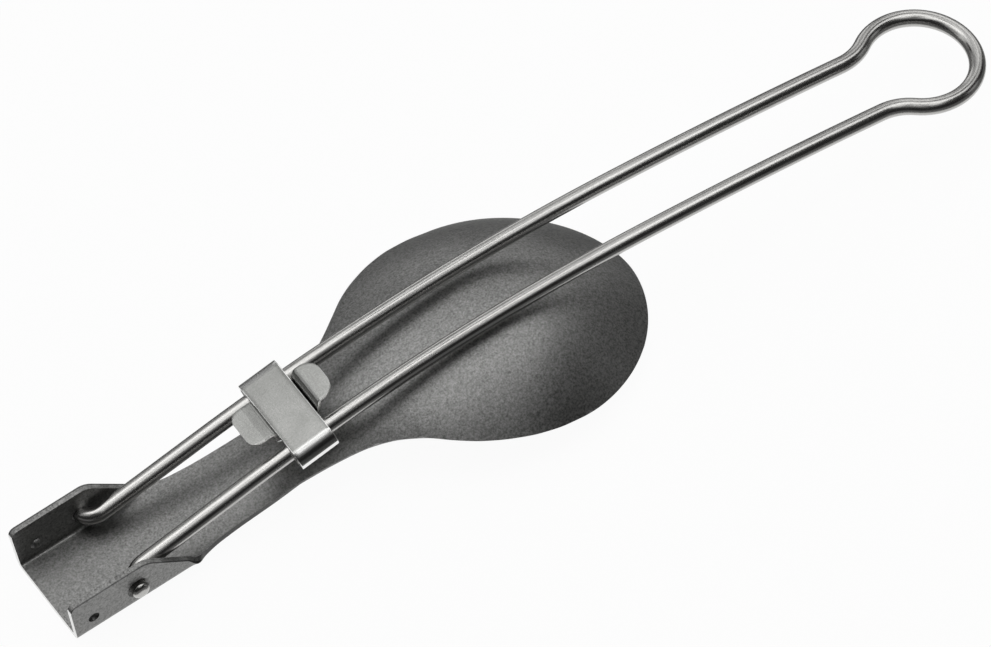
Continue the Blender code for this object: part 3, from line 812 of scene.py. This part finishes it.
class Finish:
    """A material written as expressions on its nodes."""

    def __init__(self, name, holder=None):
        self.material = holder or bpy.data.materials.new(name)
        self.material.use_nodes = True
        self.tree = self.material.node_tree
        self.shader = self.tree.nodes.get("Principled BSDF")

    def node(self, kind, settings=None, values=None, output=0):
        """A node with its settings made first and its sockets then filled or linked."""
        item = self.tree.nodes.new(kind)
        for name, value in (settings or {}).items():
            setattr(item, name, value)
        for name, value in (values or {}).items():
            self.fill(item.inputs[name], value)
        return Signal(self.tree, item.outputs[output])

    def fill(self, socket, value):
        """Link a signal to a socket, or set the socket's own value."""
        if isinstance(value, Signal):
            self.tree.links.new(value.socket, socket)
        else:
            socket.default_value = value

    def mix(self, factor, low, high):
        """A colour between two colours, through the colour sockets 6 and 7 of a Mix node."""
        low, high = [colour if isinstance(colour, Signal) else (*colour, 1)
                     for colour in (low, high)]
        return self.node("ShaderNodeMix", {"data_type": "RGBA"}, {0: factor, 6: low, 7: high}, 2)

    def paint(self, **values):
        """Fill the shader's sockets, named with _ for a space."""
        for name, value in values.items():
            self.fill(self.shader.inputs[name.replace("_", " ")], value)

    def noise(self, lay, scale, detail=2.0, roughness=0.5):
        """Soft random grain from 0 to 1."""
        values = {"Vector": lay, "Scale": scale, "Detail": detail, "Roughness": roughness}
        return self.node("ShaderNodeTexNoise", {}, values)

    def band(self, signal, low, high, start=0.0, end=1.0):
        """A signal stretched from one range to another, without passing its ends."""
        values = {"Value": signal, "From Min": low, "From Max": high, "To Min": start, "To Max": end}
        return self.node("ShaderNodeMapRange", {}, values)

    def stretch(self, lay, shares):
        """Places drawn out along the axes whose share is below 1."""
        return self.node("ShaderNodeMapping", {}, {"Vector": lay, "Scale": shares})

    def bump(self, height, strength, depth):
        """Normals of a surface that rises and falls by a depth."""
        values = {"Height": height, "Strength": strength, "Distance": depth}
        return self.node("ShaderNodeBump", {}, values)


# Grains to the metre, colours from dark to pale, roughness from low to high and grain depths
BLASTED_GRAIN = 3400
BLASTED_PITS = 1700
BLASTED_CLOUD = 60
BLASTED_COLOURS = ((0.125, 0.125, 0.122), (0.37, 0.37, 0.363))
BLASTED_ROUGHNESS = (0.4, 0.5)
BLASTED_DEPTH = 0.03 * MM
BARE_TITANIUM_COLOURS = ((0.86, 0.86, 0.85), (0.95, 0.95, 0.94))
# Painted dark edge shade on the head's rims, strongest along the ears' outer faces
PAINTED_EDGE_SHADE_COLOUR = (0.04, 0.04, 0.04)
INNER_EDGE_SHADE = 0.05
OUTER_EDGE_SHADE = 0.75
WIRE_LINES = 7000
WIRE_PATCHES = 700
WIRE_GRAIN = 5200
LINE_STRETCH_SHARES = (0.03, 1, 1)
PATCH_STRETCH_SHARES = (0.25, 1, 1)
WIRE_COLOURS = ((0.4, 0.395, 0.385), (0.54, 0.535, 0.52))
WIRE_ROUGHNESS = (0.2, 0.28)
WIRE_DEPTH = 0.012 * MM
SATIN_GRAIN = 4600
SATIN_CLOUD = 220
SATIN_COLOURS = ((0.18, 0.182, 0.174), (0.31, 0.312, 0.302))
SATIN_ROUGHNESS = (0.2, 0.28)
SATIN_DEPTH = 0.015 * MM
# Pale colours for the sheet's cut edges and for the painted highlights on the sleeve's rolls
BARE_STEEL_AND_HIGHLIGHT_COLOURS = ((0.84, 0.84, 0.83), (0.94, 0.94, 0.93))


def edge_shares(finish):
    """Two shares from 0 to 1: the pale colour that is both cut metal and painted highlight, and the
    painted dark edge shade.
    """
    look = finish.node("ShaderNodeAttribute", {"attribute_name": "edge_look"}, output="Fac")
    return finish.band(look, 0.0, BARE_AND_HIGHLIGHT), finish.band(look, 0.0, PAINTED_SHADE)


def outer_shade_line(finish, lay):
    """Strength of the painted edge shade: 1 beside the ears' outer faces and ahead of the channel, 0
    farther in on the ears.
    """
    x, y, z = [finish.node("ShaderNodeSeparateXYZ", {}, {"Vector": lay}, axis) for axis in range(3)]
    along, height = [x * TO_HEAD[row][0] + z * TO_HEAD[row][2] + TO_HEAD[row][3] for row in (0, 2)]
    aside = finish.node("ShaderNodeMath", {"operation": "ABSOLUTE"}, {0: y})
    inset = CHANNEL_HALF + (height - SHEET) * math.tan(EAR_FLARE) - aside
    ahead = finish.band(along, CHANNEL_LENGTH, CHANNEL_LENGTH + EDGE_LINE_FADE)
    return finish.band(inset, EDGE_LINE_WIDTH, 0.5 * EDGE_LINE_WIDTH) + ahead


def blasted_titanium():
    """Dark grey titanium with a fine blasted grain, a pale cut free end and painted dark shade along
    its outer edges.
    """
    finish = Finish("blasted_titanium")
    lay = finish.node("ShaderNodeTexCoord", output="Object")
    grain = finish.noise(lay, BLASTED_GRAIN, roughness=0.6)
    pits = finish.noise(lay, BLASTED_PITS)
    cloud = finish.noise(lay, BLASTED_CLOUD, detail=3.0)
    tone = finish.band(grain * 0.6 + pits * 0.3 + cloud * 0.1, 0.3, 0.7)
    bare_and_highlight, dark = edge_shares(finish)
    blasted = finish.mix(tone, *BLASTED_COLOURS)
    metal = finish.mix(bare_and_highlight, blasted, finish.mix(tone, *BARE_TITANIUM_COLOURS))
    # Painted dark edge shade: its strength along the rims, then mixed over the metal
    line = finish.band(outer_shade_line(finish, lay), 0.0, 1.0, INNER_EDGE_SHADE, OUTER_EDGE_SHADE)
    sheen = finish.band(grain + cloud, 0.7, 1.3, *BLASTED_ROUGHNESS)
    finish.paint(Base_Color=finish.mix(dark * line, metal, PAINTED_EDGE_SHADE_COLOUR), Metallic=1.0,
                 Roughness=sheen - bare_and_highlight * 0.08,
                 Normal=finish.bump(grain * 0.65 + pits * 0.35, 0.9, BLASTED_DEPTH))
    return finish.material


def drawn_wire():
    """Bright grey titanium wire with fine draw lines along it."""
    finish = Finish("drawn_wire")
    lay = finish.node("ShaderNodeAttribute", {"attribute_name": "wire_lay"}, output="Vector")
    lines = finish.noise(finish.stretch(lay, LINE_STRETCH_SHARES), WIRE_LINES, roughness=0.6)
    patches = finish.noise(finish.stretch(lay, PATCH_STRETCH_SHARES), WIRE_PATCHES)
    grain = finish.noise(lay, WIRE_GRAIN, roughness=0.6)
    tone = finish.band(lines * 0.4 + patches * 0.3 + grain * 0.3, 0.35, 0.65)
    finish.paint(Base_Color=finish.mix(tone, *WIRE_COLOURS), Metallic=1.0,
                 Roughness=finish.band(tone, 0.0, 1.0, *WIRE_ROUGHNESS),
                 Normal=finish.bump(lines * 0.6 + grain * 0.4, 0.3, WIRE_DEPTH))
    return finish.material


def satin_steel():
    """Light satin stainless sheet with pale cut edges and painted highlights on its rolls."""
    finish = Finish("satin_steel")
    lay = finish.node("ShaderNodeTexCoord", output="Object")
    grain = finish.noise(lay, SATIN_GRAIN, roughness=0.6)
    cloud = finish.noise(lay, SATIN_CLOUD, detail=3.0, roughness=0.55)
    tone = finish.band(grain * 0.5 + cloud * 0.5, 0.3, 0.7)
    # The pale share covers the cut edges and the painted highlights on the rolls
    bare_and_highlight, _ = edge_shares(finish)
    satin = finish.mix(tone, *SATIN_COLOURS)
    metal = finish.mix(bare_and_highlight, satin, finish.mix(tone, *BARE_STEEL_AND_HIGHLIGHT_COLOURS))
    finish.paint(Base_Color=metal, Metallic=1.0,
                 Roughness=finish.band(tone, 0.0, 1.0, *SATIN_ROUGHNESS),
                 Normal=finish.bump(grain, 0.25, SATIN_DEPTH))
    return finish.material


# Camera, in the head's own frame: where it looks from in degrees, how far it stands from the
# channel's free end to the picture's right, up and back, and its lens and sensor in millimetres
CAMERA_AZIMUTH = 248.656
CAMERA_HEIGHT = 55.696
CAMERA_ROLL = -14.267
CAMERA_PLACE = (63.18 * MM, 39.42 * MM, 1694.9 * MM)
CAMERA_LENS = 435.92
CAMERA_SENSOR = 36
CAMERA_SIDESTEP = 0.1 * MM
CAMERA_SIGHT = 20

# Light and floor. A lamp has its azimuth from +X towards +Y, its height and its half angle in
# degrees, and its strength. 22 of the strengths come from a fit to the photograph's tones
LAMPS = ((0, 90, 8, 1.87), (0, 76, 8, 1.96), (120, 76, 8, 2.08), (180, 76, 8, 1.3),
         (240, 74, 8, 1.8), (300, 75, 8, 0.7), (15, 62, 8, 1.5), (45, 62, 8, 0.93),
         (75, 62, 8, 1.4), (105, 62, 8, 2), (135, 62, 8, 2.1), (165, 62, 8, 1.3),
         (315, 62, 8, 1.2), (345, 62, 8, 2.13), (0, 47, 9, 1.57), (51, 47, 9, 0.99),
         (103, 47, 9, 1.03), (129, 47, 9, 1.1), (154, 47, 9, 0.67), (180, 47, 9, 0.49),
         (257, 47, 9, 0.2), (283, 47, 9, 0.25), (13, 30, 10, 0.81), (297, 58, 8, 0.9),
         (252, 62, 8, 0.75), (77, 47, 9, 0.65), (92, 30, 10, 0.4), (39, 30, 10, 1.65),
         (142, 30, 10, 1.05), (167, 30, 10, 0.46), (65, 30, 10, 0.55), (26, 11, 11, 1.1),
         (51, 11, 11, 0.84), (77, 11, 11, 1.2), (103, 11, 11, 0.48), (129, 11, 11, 0.31),
         (154, 11, 11, 1.07), (334, 11, 11, 0.44))
LAMP_DISTANCE = 1.2
ROOM_LIGHT = 0.03
LOW_ROOM_LIGHT = 0.21
LOW_ROOM_FROM = 0.02
LOW_ROOM_FULL = -0.1
FLOOR_HALF = 3
FLOOR_COLOUR = (0.86, 0.86, 0.86, 1)
FLOOR_ROUGHNESS = 0.9
FLOOR_WHITE = 0.95
FLOOR_MIRROR_FROM = -0.58
FLOOR_MIRROR_FULL = -0.66


def make_camera():
    """The photograph's long, nearly parallel view."""
    data = bpy.data.cameras.new("camera")
    data.sensor_width = CAMERA_SENSOR
    data.lens = CAMERA_LENS
    data.clip_end = CAMERA_SIGHT
    camera = bpy.data.objects.new("camera", data)
    bpy.context.scene.collection.objects.link(camera)
    turn = (Matrix.Rotation(math.radians(CAMERA_AZIMUTH + 90), 4, "Z")
            @ Matrix.Rotation(math.radians(90 - CAMERA_HEIGHT), 4, "X")
            @ Matrix.Rotation(math.radians(CAMERA_ROLL), 4, "Z"))
    place = turn @ Matrix.Translation(CAMERA_PLACE)
    camera.matrix_world = Matrix.Translation((0, CAMERA_SIDESTEP, 0)) @ GROUND @ place
    bpy.context.scene.camera = camera


def make_floor():
    """A plain pale floor that shows white with a faint shadow and that no mirror shows."""
    builder = bmesh.new()
    bmesh.ops.create_grid(builder, x_segments=1, y_segments=1, size=FLOOR_HALF)
    floor = add_piece("floor", builder, Matrix())
    finish = Finish("pale_floor")
    finish.paint(Base_Color=FLOOR_COLOUR, Roughness=FLOOR_ROUGHNESS, Specular_IOR_Level=0.0)
    seen = finish.node("ShaderNodeLightPath", output="Is Camera Ray")
    shader = Signal(finish.tree, finish.shader.outputs[0])
    white = finish.node("ShaderNodeEmission", {}, {"Color": (1, 1, 1, 1), "Strength": 1.0})
    shown = finish.node("ShaderNodeMixShader", {}, {0: seen * FLOOR_WHITE, 1: shader, 2: white})
    finish.fill(finish.tree.nodes["Material Output"].inputs["Surface"], shown)
    floor.data.materials.append(finish.material)
    floor.visible_glossy = False


def make_lamp(azimuth, height, half_angle, strength):
    """A round soft lamp in a direction, as wide as its half angle and as bright as its strength."""
    data = bpy.data.lights.new("lamp", "AREA")
    data.shape = "DISK"
    data.size = 2 * LAMP_DISTANCE * math.tan(math.radians(half_angle))
    # A disk's power is pi times its area times its brightness
    data.energy = math.pi * math.pi * (data.size / 2) ** 2 * strength
    lamp = bpy.data.objects.new("lamp", data)
    bpy.context.scene.collection.objects.link(lamp)
    turn = Matrix.Rotation(math.radians(azimuth), 3, "Z")
    direction = turn @ Matrix.Rotation(-math.radians(height), 3, "Y") @ Vector((1, 0, 0))
    lamp.location = direction * LAMP_DISTANCE
    lamp.visible_camera = False
    lamp.rotation_mode = "QUATERNION"
    lamp.rotation_quaternion = direction.to_track_quat("Z", "Y")


def make_room():
    """White to the camera; in the metal dim above, less dim below and white at the floor's place."""
    room = Finish("room", bpy.data.worlds.new("room"))
    bpy.context.scene.world = room.material
    seen = room.node("ShaderNodeLightPath", output="Is Camera Ray")
    mirrored = room.node("ShaderNodeLightPath", output="Is Glossy Ray")
    toward = room.node("ShaderNodeTexCoord", output="Generated")
    height = room.node("ShaderNodeSeparateXYZ", {}, {"Vector": toward}, "Z")
    floor = room.band(height, FLOOR_MIRROR_FROM, FLOOR_MIRROR_FULL)
    below = room.band(height, LOW_ROOM_FROM, LOW_ROOM_FULL)
    dim = room.node("ShaderNodeBackground", {}, {"Strength": ROOM_LIGHT})
    low = room.node("ShaderNodeBackground", {}, {"Strength": LOW_ROOM_LIGHT})
    white = room.node("ShaderNodeBackground", {}, {"Color": (1, 1, 1, 1), "Strength": 1.0})
    walls = room.node("ShaderNodeMixShader", {}, {0: below, 1: dim, 2: low})
    shown = room.node("ShaderNodeMixShader", {}, {0: seen + mirrored * floor, 1: walls, 2: white})
    room.fill(room.tree.nodes["World Output"].inputs["Surface"], shown)


def make_light():
    """Plain soft studio light."""
    make_room()
    for lamp in LAMPS:
        make_lamp(*lamp)


def main():
    """Camera, floor, light and the four pieces."""
    bpy.context.scene.view_settings.view_transform = "Standard"
    make_camera()
    make_floor()
    make_light()
    make_head(blasted_titanium())
    make_handle(drawn_wire())
    steel = satin_steel()
    make_sleeve(steel)
    make_tongue(steel)


main()
